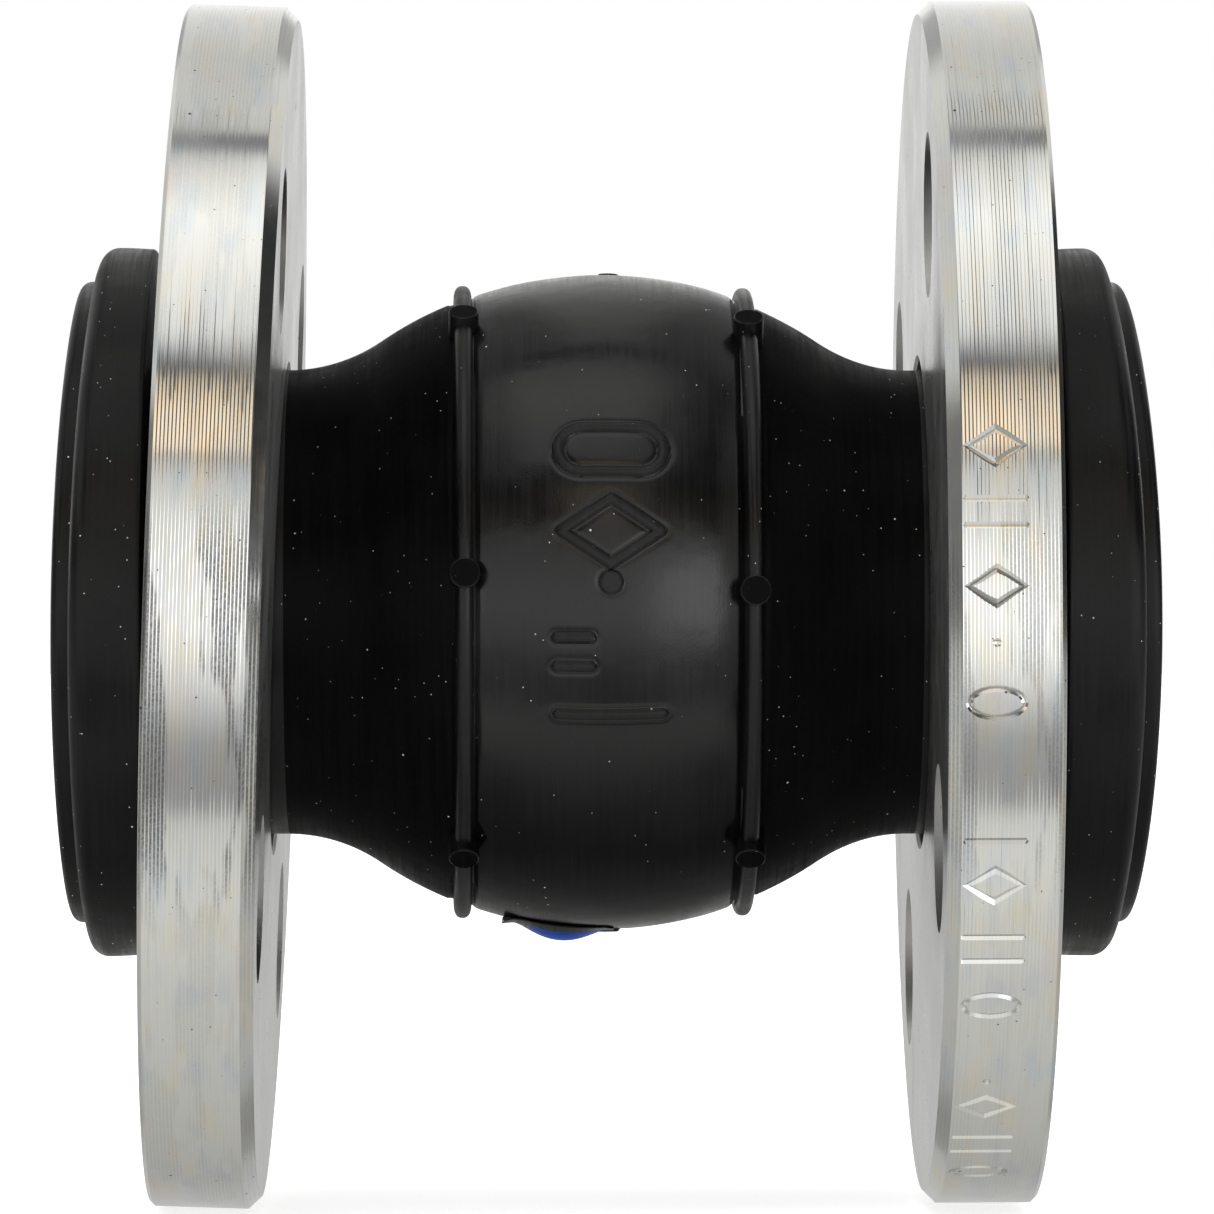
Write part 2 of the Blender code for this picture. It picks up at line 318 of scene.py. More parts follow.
def mix(tree, factor, a, b):
    """A mix of two colours, each a socket, a colour or a level of grey."""
    made = tree.nodes.new("ShaderNodeMix")
    made.data_type = "RGBA"
    for name, value in (("Factor_Float", factor), ("A_Color", rgba(a)), ("B_Color", rgba(b))):
        socket = next(s for s in made.inputs if s.identifier == name)
        if isinstance(value, bpy.types.NodeSocket):
            tree.links.new(value, socket)
        else:
            socket.default_value = value
    return next(s for s in made.outputs if s.identifier == "Result_Color")


def own_place(tree):
    """The object's own coordinates."""
    return add(tree, "TexCoord").outputs["Object"]


def stretched(tree, scale):
    """The object's own coordinates, scaled unevenly."""
    mapping = add(tree, "Mapping", own_place(tree))
    mapping.inputs["Scale"].default_value = scale
    return mapping.outputs[0]


def cloud(tree, scale, detail=2.0, roughness=0.5):
    """Noise in the object's own coordinates. scale is in cells per metre, even or along x, y, z."""
    if not hasattr(scale, "__len__"):
        scale = (scale,) * 3
    made = add(tree, "TexNoise", stretched(tree, scale))
    made.inputs["Scale"].default_value = 1.0
    made.inputs["Detail"].default_value = detail
    made.inputs["Roughness"].default_value = roughness
    return made.outputs["Fac"]


def specks(tree, scale, size, share):
    """A mask of scattered round specks: size is in cells, share is how many cells have one."""
    turned = add(tree, "VectorRotate", stretched(tree, (scale,) * 3), rotation_type="EULER_XYZ")
    turned.inputs["Rotation"].default_value = (0.5, 0.7, 0.9)
    cells = add(tree, "TexVoronoi", turned.outputs[0])
    cells.inputs["Scale"].default_value = 1.0
    chance = add(tree, "SeparateColor", cells.outputs["Color"])
    radius = spread(tree, chance.outputs[0], 1 - share, 1.0, 0.0, size)
    near = maths(tree, "SUBTRACT", radius, cells.outputs["Distance"])
    return spread(tree, near, 0.0, size * 0.4, 0.0, 1.0)


def material(name, **sockets):
    """A Principled material: returns it with its tree and shader."""
    made = bpy.data.materials.new(name)
    made.use_nodes = True
    shader = made.node_tree.nodes["Principled BSDF"]
    for key, value in sockets.items():
        shader.inputs[key.replace("_", " ")].default_value = value
    return made, made.node_tree, shader


def surface(tree, shader, layers, colour, rough=None):
    """Wires up a shader. Each bump layer is a height from 0 to 1, and its depth in metres."""
    tree.links.new(colour, shader.inputs["Base Color"])
    if rough:
        tree.links.new(rough, shader.inputs["Roughness"])
    normal = None
    for height, depth in layers:
        bump = add(tree, "Bump")
        bump.inputs["Distance"].default_value = depth
        tree.links.new(height, bump.inputs["Height"])
        if normal:
            tree.links.new(normal, bump.inputs["Normal"])
        normal = bump.outputs[0]
    tree.links.new(normal, shader.inputs["Normal"])


def rubber(name, dark, light, shine, gloss, dull, dust, under=1.0, over=1.0):
    """Moulded rubber: satin, with flow streaks round the pipe, blotches, fine scratches and dust.

    Its underside and top reflect less, by a factor: painted shade, set by height.
    """
    made, tree, shader = material(name)
    # Painted shade: the reflection is turned down by height, on the underside and on the top.
    height = add(tree, "SeparateXYZ", own_place(tree)).outputs[2]
    low = spread(tree, height, *PAINTED_SHADE_UNDER, under * shine, shine)
    high = spread(tree, height, *PAINTED_SHADE_OVER, 1.0, over)
    tree.links.new(times(tree, low, high), shader.inputs["Specular IOR Level"])
    blotches = cloud(tree, 110, 3)
    streaks = cloud(tree, (2600, 70, 70), 3, 0.6)
    hairs = cloud(tree, (7000, 260, 260), 2)
    grain = cloud(tree, 5200, 3)
    tone = times(tree, blotches, streaks)
    colour = mix(tree, spread(tree, tone, 0.12, 0.38), dark, light)
    powder = maths(tree, "MAXIMUM", specks(tree, 620, 0.075, dust), specks(tree, 1500, 0.115, dust))
    powdered = mix(tree, powder, colour, (0.5, 0.5, 0.48))
    satin = spread(tree, streaks, 0.3, 0.7, gloss, dull)
    patch = spread(tree, blotches, 0.35, 0.65, -0.06, 0.06)
    rough = maths(tree, "ADD", satin, patch)
    rough = maths(tree, "ADD", rough, times(tree, powder, 0.4))
    layers = [(blotches, 0.16 * MM), (hairs, 0.004 * MM), (grain, 0.007 * MM)]
    surface(tree, shader, layers, powdered, rough)
    return made


def painted_reflection_lands(tree, side):
    """Where a rim gets its painted reflection streaks: on the lands between its grooves, in a band
    from its middle down a little.
    """
    parts = add(tree, "SeparateXYZ", own_place(tree)).outputs
    from_start = maths(tree, "SUBTRACT", times(tree, parts["X"], side), GROOVE_START)
    along = maths(tree, "FRACT", maths(tree, "DIVIDE", from_start, GROOVE_PITCH))
    land = spread(tree, along, GROOVE_WIDTH * 0.8, GROOVE_WIDTH * 1.2, PAINTED_BAND_REMAINDER)
    below = spread(tree, parts["Z"], *REFLECTION_BAND_TOP, 1.0, PAINTED_BAND_REMAINDER)
    above = spread(tree, parts["Z"], *REFLECTION_BAND_BOTTOM, PAINTED_BAND_REMAINDER)
    return times(tree, land, times(tree, below, above))


def zinc(name, colour, tarnish, gloss, dull, pits, direction, depth, smears_and_painted_streaks, side=0, painted_land_grey=0):
    """Zinc-plated steel: tool marks along a direction, faint rainbow tarnish, smears and pits.

    With a side given, it is that flange's rim: its smears gather on the lands in a band round its
    middle, and the lands there are greyed, as painted reflection streaks.
    """
    made, tree, shader = material(name, Metallic=1.0)
    lines = cloud(tree, direction, 3, 0.6)
    patches = cloud(tree, 95, 4, 0.6)
    rainbow = cloud(tree, (380, 120, 120), 2)
    warm = mix(tree, spread(tree, rainbow, 0.52, 0.72, 0, tarnish), colour, (0.86, 0.78, 0.62))
    pink = mix(tree, spread(tree, patches, 0.56, 0.75, 0, tarnish), warm, (0.80, 0.70, 0.68))
    blue = mix(tree, spread(tree, rainbow, 0.46, 0.28, 0, tarnish), pink, (0.66, 0.73, 0.80))
    streaked = mix(tree, spread(tree, lines, 0.40, 0.25, 0, 0.35), blue, 0.36)
    sparse = (0.47, 0.52) if side else (0.58, 0.74)
    streak_noise = spread(tree, cloud(tree, (240, 40, 40), 3, 0.6), *sparse, 0, smears_and_painted_streaks)
    grit = spread(tree, cloud(tree, 4200, 4), 0.25, 0.65, 0.5, 1)
    smear_and_painted_streak = times(tree, streak_noise, grit)
    # On a rim, painted reflection: smears and greyed lands gather in its middle band.
    if side:
        painted_band = painted_reflection_lands(tree, side)
        smear_and_painted_streak = times(tree, smear_and_painted_streak, painted_band)
        streaked = mix(tree, times(tree, painted_band, painted_land_grey), streaked, 0.46)
    smeared_and_painted = mix(tree, smear_and_painted_streak, streaked, (0.13, 0.13, 0.14))
    holes = specks(tree, 900, 0.16, pits)
    specked = specks(tree, 2600, 0.2, pits * 0.6)
    nicks = specks(tree, 75, 0.045, pits * 3)
    dots = maths(tree, "MAXIMUM", maths(tree, "MAXIMUM", holes, specked), nicks)
    pitted = mix(tree, dots, smeared_and_painted, 0.08)
    rough = spread(tree, patches, 0.35, 0.65, gloss, dull)
    rough = maths(tree, "ADD", rough, times(tree, dots, 0.3))
    rough = maths(tree, "ADD", rough, times(tree, smear_and_painted_streak, 0.15))
    layers = [(lines, depth), (maths(tree, "SUBTRACT", 1.0, dots), 0.05 * MM)]
    surface(tree, shader, layers, pitted, rough)
    return made


def cord_ply():
    """Rubberised nylon cord: two crossing sets of yarns."""
    made, tree, shader = material("nylon_cord_weave", Roughness=0.8)
    wave = []
    for slant in (130.0, -130.0):
        x, y, z = add(tree, "SeparateXYZ", own_place(tree)).outputs
        along = times(tree, x, 5200.0)
        round_pipe = times(tree, maths(tree, "ARCTAN2", z, y), slant)
        wave.append(maths(tree, "SINE", maths(tree, "ADD", along, round_pipe)))
    yarns = spread(tree, maths(tree, "MAXIMUM", *wave), -0.4, 1.0, 0.0, 1.0)
    fibres = cloud(tree, 4000, 3)
    tone = times(tree, yarns, fibres)
    colour = mix(tree, spread(tree, tone, 0.05, 0.6), (0.10, 0.08, 0.06), (0.46, 0.39, 0.28))
    surface(tree, shader, [(yarns, 0.12 * MM), (fibres, 0.02 * MM)], colour)
    return made


def bead_wire():
    """Bright drawn wire with faint die lines along it and a little rust."""
    made, tree, shader = material("drawn_bead_wire", Metallic=1.0)
    lines = cloud(tree, (3500, 220, 220), 3)
    rust = cloud(tree, 240, 4)
    shade = mix(tree, spread(tree, lines, 0.35, 0.65), (0.50, 0.49, 0.47), (0.66, 0.65, 0.62))
    colour = mix(tree, spread(tree, rust, 0.6, 0.75, 0, 0.6), shade, (0.30, 0.16, 0.08))
    surface(tree, shader, [(lines, 0.01 * MM)], colour, spread(tree, rust, 0.4, 0.75, 0.25, 0.6))
    return made


def label_film():
    """Blue printed film with little gloss, slightly rippled."""
    made, tree, shader = material("blue_label_film", Specular_IOR_Level=0.02)
    waves = cloud(tree, 300, 2)
    print_dots = cloud(tree, 5000, 1)
    deep = mix(tree, spread(tree, waves, 0.3, 0.7), (0.0, 0.024, 0.20), (0.0, 0.05, 0.34))
    shade = mix(tree, spread(tree, print_dots, 0.35, 0.7, 0, 0.25), deep, (0.0, 0.08, 0.42))
    surface(tree, shader, [(waves, 0.12 * MM)], shade, spread(tree, waves, 0.3, 0.7, 0.28, 0.4))
    return made


def label_paper():
    """The label's pale paper back and edge."""
    made, tree, shader = material("label_paper", Roughness=0.8)
    fibres = cloud(tree, 3000, 4)
    colour = mix(tree, spread(tree, fibres, 0.3, 0.7), (0.50, 0.50, 0.48), (0.75, 0.75, 0.73))
    surface(tree, shader, [(fibres, 0.02 * MM)], colour)
    return made


def pale_floor():
    """A plain pale floor that glows a little, so that it looks as white as the room."""
    made, tree, shader = material("pale_floor", Roughness=0.9, Emission_Strength=0.63)
    shader.inputs["Emission Color"].default_value = rgba(1)
    tone = spread(tree, cloud(tree, 8, 2), 0.3, 0.7)
    colour = mix(tree, tone, 0.76, 0.80)
    tree.links.new(colour, shader.inputs["Base Color"])
    return made


# under and over turn each rubber's reflection down on its underside and its top: painted shade.
ARCH_RUBBER = rubber(
    "satin_black_rubber",
    dark=(0.001, 0.001, 0.0012), light=(0.003, 0.003, 0.0032),
    shine=0.5, gloss=0.17, dull=0.23, dust=0.2,
    under=0.12, over=0.85,
)
MARK_RUBBER = rubber(
    "dull_mark_rubber",
    dark=(0.004, 0.004, 0.0042), light=0.010,
    shine=0.32, gloss=0.42, dull=0.55, dust=0.3,
    under=0.3,
)
RIB_RUBBER = rubber(
    "rib_black_rubber",
    dark=(0.002, 0.002, 0.0022), light=0.006,
    shine=0.33, gloss=0.30, dull=0.40, dust=0.3,
    under=0.5,
)
NECK_RUBBER = rubber(
    "neck_black_rubber",
    dark=(0.0005, 0.0005, 0.0007), light=0.002,
    shine=0.06, gloss=0.36, dull=0.46, dust=0.4,
    under=0.3, over=0.4,
)
COLLAR_RUBBER = rubber(
    "collar_charcoal_rubber",
    dark=(0.002, 0.0022, 0.0022), light=0.005,
    shine=0.24, gloss=0.30, dull=0.42, dust=0.4,
    under=0.4, over=0.8,
)
TUBE_RUBBER = rubber(
    "smooth_tube_rubber",
    dark=0.003, light=0.008,
    shine=0.45, gloss=0.3, dull=0.42, dust=0.05,
)
# A black border round the blue print: painted shadow along the label's edge.
LABEL_PAINTED_SHADOW = rubber(
    "label_painted_shadow_edge",
    dark=(0.002, 0.002, 0.003), light=(0.005, 0.005, 0.007),
    shine=0.2, gloss=0.3, dull=0.45, dust=0.02,
)
RIM_ZINC = {
    name: zinc(
        f"turned_zinc_{name}_rim",
        colour=(0.80, 0.80, 0.77), tarnish=0.55,
        gloss=0.10, dull=0.16, pits=0.09,
        direction=(7000, 60, 60), depth=0.002 * MM,
        smears_and_painted_streaks=RIM_SMEARS_AND_REFLECTION[name][0], side=side, painted_land_grey=RIM_SMEARS_AND_REFLECTION[name][1],
    )
    for name, side in SIDES.items()
}
FACE_ZINC = zinc(
    "dull_zinc_face",
    colour=(0.78, 0.78, 0.77), tarnish=0.12,
    gloss=0.27, dull=0.36, pits=0.14,
    direction=(60, 700, 700), depth=0.012 * MM,
    smears_and_painted_streaks=0.3,
)
HOLE_ZINC = zinc(
    "drilled_zinc",
    colour=(0.5, 0.5, 0.49), tarnish=0.2,
    gloss=0.35, dull=0.5, pits=0.2,
    direction=(600, 2500, 2500), depth=0.03 * MM,
    smears_and_painted_streaks=0.6,
)
CORD_PLY = cord_ply()
BEAD_WIRE = bead_wire()
LABEL_FILM = label_film()
LABEL_PAPER = label_paper()


def dress(thing, *materials):
    """Gives a piece its materials. Its faces get the first one until mark_faces says otherwise."""
    thing.data.materials.clear()
    for made in materials:
        thing.data.materials.append(made)


def mark_faces(piece, slot_index, chosen):
    """Gives the chosen faces another of the piece's materials."""
    for face in piece.data.polygons:
        if chosen(face):
            face.material_index = slot_index


# --- The rubber bellows -------------------------------------------------------------------------

# Moulded marks on the front of the arch, plain shapes and no letters, in mm: x, and distance
# round the pipe from the front. Each stroke is a list of corners, and the first value says
# whether it closes on itself. A capsule, and a dot at each quarter turn, go with them.
MARK_CENTRE_X = 0.6
MARK_STROKES = [
    (True, [(-4.0, 6.6), (0.6, 9.7), (5.2, 6.6), (0.6, 3.5)]),
    (False, [(-4.4, -3.3), (-1.3, -3.3)]),
    (False, [(-4.4, -6.0), (-1.3, -6.0)]),
    (False, [(-4.3, -10.6), (5.4, -10.6)]),
]
CAPSULE_MIDDLE = 14.7
CAPSULE_HALF_LENGTH = 2.6
CAPSULE_RADIUS = 2.3
DOT_ANGLE = math.radians(3.3)
DOT_RADIUS = 1.15
MARK_HALF_WIDTH = 0.55
MARK_RISE = 0.38
MARK_MOAT = 0.07
MARK_MOAT_WIDTH = 0.24

# What lies farther from a mark's line than this is flat, whatever the distance.
FAR_FROM_MARKS = 99.0

# The fine steps of angle cover the marks, from and to, and the dots, to this far on each side.
FINE_FROM = math.radians(-27)
FINE_TO = math.radians(34)
FINE_DOT = math.radians(3)
COARSENING = math.radians(7)


def segment_distance(u, v, a, b):
    """Distance of each point (u, v) from the segment from a to b."""
    along = np.array(b) - np.array(a)
    t = ((u - a[0]) * along[0] + (v - a[1]) * along[1]) / (along @ along)
    t = np.clip(t, 0, 1)
    return np.hypot(u - a[0] - t * along[0], v - a[1] - t * along[1])


def mark_height(x, angle):
    """Height of the moulded marks over the arch: a round-backed stroke with a moat beside it."""
    u = x / MM
    round_pipe = CREST_RADIUS / MM * np.angle(np.exp(1j * angle))
    nearest = np.full_like(u, FAR_FROM_MARKS)
    for closed, corners in MARK_STROKES:
        pairs = list(zip(corners, corners[1:]))
        if closed:
            pairs.append((corners[-1], corners[0]))
        for a, b in pairs:
            nearest = np.minimum(nearest, segment_distance(u, round_pipe, a, b))
    ends = [(MARK_CENTRE_X + s * CAPSULE_HALF_LENGTH, CAPSULE_MIDDLE) for s in (-1, 1)]
    capsule = np.abs(segment_distance(u, round_pipe, *ends) - CAPSULE_RADIUS)
    nearest = np.minimum(nearest, capsule)
    for quarter in range(4):
        turn = angle - DOT_ANGLE - quarter * math.pi / 2
        off = CREST_RADIUS / MM * np.angle(np.exp(1j * turn))
        dot = np.hypot(u - MARK_CENTRE_X, off) - DOT_RADIUS + MARK_HALF_WIDTH
        nearest = np.minimum(nearest, np.maximum(dot, 0.3))
    across = np.clip(nearest / MARK_HALF_WIDTH, 0, 1)
    rise = MARK_RISE * (1 - across**2) ** 0.8
    moat_place = (nearest - MARK_HALF_WIDTH - 0.06) / MARK_MOAT_WIDTH
    return (rise - MARK_MOAT * np.exp(-(moat_place**2))) * MM


def ripple(x, angle, size, depth, seed):
    """Slow random unevenness of a moulded surface, the same at every run."""
    values = [
        noise.noise(Vector((px / size + seed, 4 * math.cos(a), 4 * math.sin(a))))
        for px, a in zip(x.ravel(), angle.ravel())
    ]
    return depth * np.array(values).reshape(x.shape)


def crease_depth(x, radius, angle):
    """The crease that runs along both sides of a rib."""
    from_rib = np.abs(np.abs(x - RIB_SKEW * radius * np.cos(angle)) - RIB_X)
    return RIB_CREASE * np.exp(-(((from_rib - 1.15 * RIB_HALF_WIDTH) / (0.22 * MM)) ** 2))


def outer_surface(marks):
    """The function that adds creases, marks and unevenness to the bellows' outer surface."""

    def shape(x, radius, angle):
        on_skin = np.abs(radius - wall_radius(x, 0)) < 0.01 * MM
        lift = -crease_depth(x, radius, angle) + ripple(x, angle, 6 * MM, 0.05 * MM, 3.0)
        if marks:
            lift = lift + mark_height(x, angle)
        return x, radius + np.where(on_skin, lift, 0)

    return shape


def mark_angles():
    """Angles round the arch: fine across the marks and the dots, and coarser elsewhere."""
    angles = [FINE_FROM - COARSENING]
    while angles[-1] < angles[0] + math.tau - MARK_STEP:
        here = angles[-1]
        quarter = (here - DOT_ANGLE) / (math.pi / 2)
        past_dot = abs(quarter - round(quarter)) * math.pi / 2 - FINE_DOT
        past_marks = max(here - FINE_TO, FINE_FROM - here)
        coarse = min(max(min(past_dot, past_marks) / COARSENING, 0), 1)
        angles.append(here + MARK_STEP + (RUBBER_STEP - MARK_STEP) * coarse)
    return np.array(angles)


def ends_outlines():
    """Outlines of the four layers in a collar, on the right side, with their corners rounded."""
    start = FLANGE_CUT_X
    neck = {k: [NECK_RADIUS - depth for depth in LAYERS[k]] for k in LAYERS}
    tube_back = SEAL_FACE_X - 3.0 * MM
    inner_face = tube_back - 0.3 * MM
    outer_face = inner_face - 1.1 * MM
    inner_back = inner_face - 0.7 * MM
    outer_back = outer_face - 1.8 * MM
    flare = 25.9 * MM
    skin_x = COLLAR_BACK_X + 1.05 * MM
    step = outer_back - 0.3 * MM
    groove = SEAL_RADIUS + 0.08 * MM
    bores = np.linspace(start, SEAL_FACE_X - 0.8 * MM, 20)
    necks = np.linspace(COLLAR_BACK_X - 1.0 * MM, start, 14)

    def turned_up(layer, face, back, reach):
        top, bottom = neck[layer]
        line = [(start, bottom), (face, bottom), (face, reach), (back, reach), (back, top)]
        return [*line, (start, top)]

    return {
        "tube": [
            *[(x, neck["tube"][1]) for x in bores],
            *arc(SEAL_FACE_X - 0.8 * MM, neck["tube"][1] + 0.8 * MM, 0.8 * MM, -90, 0),
            *[(SEAL_FACE_X, r) for r in np.linspace(15 * MM, SEAL_RADIUS - 1.2 * MM, 12)],
            *arc(SEAL_FACE_X - 0.9 * MM, SEAL_RADIUS - 0.9 * MM, 0.9 * MM, 0, 90, 8),
            (tube_back, SEAL_RADIUS),
            (tube_back, neck["tube"][0]),
            (start, neck["tube"][0]),
        ],
        "inner_ply": turned_up("inner_ply", inner_face, inner_back, SEAL_RADIUS),
        "outer_ply": turned_up("outer_ply", outer_face, outer_back, flare),
        "cover": [
            (start, neck["cover"][1]),
            (step, neck["cover"][1]),
            (step, flare - 0.3 * MM),
            (skin_x, flare - 0.3 * MM),
            (skin_x, groove),
            *arc(COLLAR_FACE_X - 0.3 * MM, groove + 0.3 * MM, 0.3 * MM, 180, 90, 3),
            *[(COLLAR_FACE_X, r) for r in np.linspace(31.4 * MM, COLLAR_RADIUS - 1.9 * MM, 3)],
            *arc(COLLAR_FACE_X - COLLAR_EDGE, COLLAR_RADIUS - COLLAR_EDGE, COLLAR_EDGE, 0, 90, 12),
            *[(x, COLLAR_RADIUS) for x in np.linspace(47.2 * MM, 43.2 * MM, 8)],
            *arc(COLLAR_BACK_X + 0.4 * MM, COLLAR_RADIUS - 0.4 * MM, 0.4 * MM, 90, 180, 5),
            (COLLAR_BACK_X, NECK_RADIUS + 1.0 * MM),
            *arc(COLLAR_BACK_X - 1.0 * MM, NECK_RADIUS + 1.0 * MM, 1.0 * MM, 0, -90, 5),
            *[(x, NECK_RADIUS) for x in necks],
        ],
    }


def collar_surface(name, side, uneven):
    """Warps a collar, and makes its outer skin slightly uneven."""
    front, fall, lean = COLLAR_WARP[name]

    def shape(x, radius, angle):
        loose = np.clip((radius - 19 * MM) / (13 * MM), 0, 1)
        loose = loose * np.clip((np.abs(x) - 42.9 * MM) / (3 * MM), 0, 1)
        shift = front - fall * np.sin(angle) ** 2 - lean * np.sin(angle)
        if uneven:
            outside = radius > 31.5 * MM
            dents = ripple(x, angle, 5 * MM, 0.12 * MM, 5.0 * side)
            radius = radius + np.where(outside, dents - 0.12 * MM, 0)
        return x + side * loose * shift, radius

    return shape


LAYER_MATERIALS = {"outer_ply": CORD_PLY, "inner_ply": CORD_PLY, "tube": TUBE_RUBBER}


def layer_slot(layer):
    return "black_rubber" if layer in ("cover", "tube") else "nylon_cord"


def dull_marks(cover):
    """Gives the moulded marks on an arch cover their duller rubber."""
    dress(cover, ARCH_RUBBER, MARK_RUBBER)
    faces = cover.data.polygons
    centres = np.empty(3 * len(faces))
    faces.foreach_get("center", centres)
    x, y, z = centres.reshape(-1, 3).T
    outside = np.hypot(y, z) > wall_radius(x, 0) - 0.2 * MM
    raised = mark_height(x, np.arctan2(z, -y)) > 0.12 * MARK_RISE * MM
    faces.foreach_set("material_index", (outside & raised).astype(np.int32))


def make_arch_half(name, side):
    """Half of the arch, from the rib to the middle."""
    edge = side * RIB_X
    fine = side * 6.2 * MM
    for layer, (top, bottom) in LAYERS.items():
        covers = layer == "cover"
        outline = wall_line(edge, fine, top, 24 if covers else 8)[:-1]
        outline += wall_line(fine, 0, top, 52 if covers else 7) + wall_line(0, edge, bottom, 14)
        angles = mark_angles() if covers else even_angles(2 * RUBBER_STEP)
        shape = outer_surface(True) if covers else None
        piece = lathe(f"{name}_arch_{layer}", outline, angles, shape)
        if covers:
            dull_marks(piece)
        else:
            dress(piece, LAYER_MATERIALS[layer])
        ends = [(side * ARCH_BEND_X, 0, 0), (0, 0, 0)][::-side]
        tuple(ends[0])
        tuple(ends[1])
        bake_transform(piece)
        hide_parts("arch_" + layer)
        layer_slot(layer)


def make_neck(name, side):
    """The neck from the rib to the flange."""
    for layer, (top, bottom) in LAYERS.items():
        covers = layer == "cover"
        far, near = side * FLANGE_CUT_X, side * RIB_X
        outline = wall_line(far, near, top, 60 if covers else 18)
        outline += wall_line(near, far, bottom, 18)
        angles = even_angles(RUBBER_STEP if covers else 2 * RUBBER_STEP)
        shape = outer_surface(False) if covers else None
        piece = lathe(f"{name}_neck_{layer}_wall", outline, angles, shape)
        dress(piece, NECK_RUBBER if covers else LAYER_MATERIALS[layer])
        ends = [(side * FLANGE_CUT_X, 0, 0), (side * NECK_BEND_X, 0, 0)][::-side]
        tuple(ends[0])
        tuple(ends[1])
        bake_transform(piece)
        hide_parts(f"{name}_neck_{layer}")
        layer_slot(layer)


def nub_tool(name, side):
    """Six round nubs with flat tops, standing on a rib."""
    bm = bmesh.new()
    rings = [
        (NUB_TOP_RADIUS - NUB_DEPTH, NUB_RADIUS),
        (NUB_TOP_RADIUS - NUB_EDGE, NUB_RADIUS),
        (NUB_TOP_RADIUS, NUB_RADIUS - NUB_EDGE),
    ]
    for degrees in NUB_ANGLES[name]:
        angle = math.radians(degrees)
        out = Vector((0, -math.cos(angle), math.sin(angle)))
        across = out.cross(Vector((1, 0, 0)))
        loops = []
        for height, radius in rings:
            middle = out * height
            middle.x = side * RIB_X + RIB_SKEW * height * math.cos(angle)
            loop = []
            for k in range(ROUND_SIDES):
                turn = math.tau * k / ROUND_SIDES
                step = Vector((math.cos(turn), 0, 0)) + across * math.sin(turn)
                loop.append(bm.verts.new(middle + radius * step))
            loops.append(loop)
        for low, high in zip(loops, loops[1:]):
            for k in range(ROUND_SIDES):
                bm.faces.new((low[k], low[k - 1], high[k - 1], high[k]))
        bm.faces.new(loops[0])
        bm.faces.new(loops[-1])
    return bmesh_object("nub_tool", bm)


def on_top(face):
    """Whether a face is the flat top of a nub."""
    outward = Vector((0, face.center.y, face.center.z)).normalized()
    return face.normal.dot(outward) > 0.995 and face.area > MM**2


def make_rib(name, side):
    """The bead round the edge of the arch, with its nubs."""
    base = float(wall_radius(side * RIB_X, 0))
    outline = [(RIB_X + RIB_HALF_WIDTH, base - RIB_ROOT), (RIB_X - RIB_HALF_WIDTH, base - RIB_ROOT)]
    for angle in np.radians(np.linspace(180, 0, 15)):
        flat = abs(math.cos(angle)) ** 0.8 * math.copysign(1, math.cos(angle))
        outline.append((RIB_X + RIB_HALF_WIDTH * flat, base + RIB_RISE * math.sin(angle) ** 0.8))

    def shape(x, radius, angle):
        lean = RIB_SKEW * radius * np.cos(angle)
        return x + lean, radius + ripple(x, angle, 5 * MM, 0.04 * MM, 9.0)

    rib = lathe(name + "_rib", mirrored(outline, side), even_angles(RUBBER_STEP), shape)
    combine(rib, nub_tool(name, side), "UNION", CRISP)
    dress(rib, RIB_RUBBER, NECK_RUBBER)
    mark_faces(rib, 1, on_top)
    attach(rib, name + "_neck")
    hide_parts(f"{name}_neck_cover")


def make_collar(name, side):
    """The end of the bellows: the stub through the flange, the collar and its wire hoop."""
    for layer, outline in ends_outlines().items():
        covers = layer == "cover"
        fine = layer in ("cover", "tube")
        angles = even_angles(RUBBER_STEP if fine else 2 * RUBBER_STEP)
        shape = collar_surface(name, side, covers)
        turned = mirrored(outline, side)
        piece = lathe(f"{name}_collar_{layer}", turned, angles, shape, COLLAR_CRISP)
        dress(piece, COLLAR_RUBBER if covers else LAYER_MATERIALS[layer])
        if layer == "tube":
            dress(piece, TUBE_RUBBER, COLLAR_RUBBER)
            mark_faces(piece, 1, lambda face: abs(face.center.x) > SEAL_FACE_X - 3.2 * MM)
        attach(piece, name + "_end")
        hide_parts(f"{name}_end_{layer}")
        layer_slot(layer)
    wire = arc(BEAD_X, BEAD_RADIUS, BEAD_WIRE_RADIUS, 0, 345, 24)
    shape = collar_surface(name, side, False)
    hoop = lathe(name + "_bead_hoop", mirrored(wire, side), even_angles(RUBBER_STEP), shape)
    dress(hoop, BEAD_WIRE)
    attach(hoop, name + "_end")
    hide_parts(name + "_bead_ring")


# --- The label ----------------------------------------------------------------------------------

LABEL_START_X = -9.6 * MM
LABEL_END_X = 1.1 * MM
LABEL_HALF_ARC = math.radians(10)
LABEL_THICKNESS = 0.12 * MM
LABEL_BUBBLE = 1.15 * MM
LABEL_CURL = 0.55 * MM
LABEL_LIFT = 0.08 * MM
LABEL_GRID = (48, 40)

# The blue print inside the black border, which is painted shadow along the label's edge: its half
# height, and its start and end along x, as shares of the label.
PRINT_HALF = 0.37
PRINT_START = 0.23
PRINT_END = 0.9


def label_height(u, v):
    """Height of the label over the rubber at u, v from -1 to 1: a bubble, and a curl at its end."""
    bubble = LABEL_BUBBLE * np.clip(1 - (u / 0.8) ** 2, 0, 1) ** 1.3 * (1 - 0.9 * v**2)
    curl = LABEL_CURL * np.clip((-u - 0.62) / 0.38, 0, 1) ** 1.5
    return LABEL_LIFT + bubble + curl


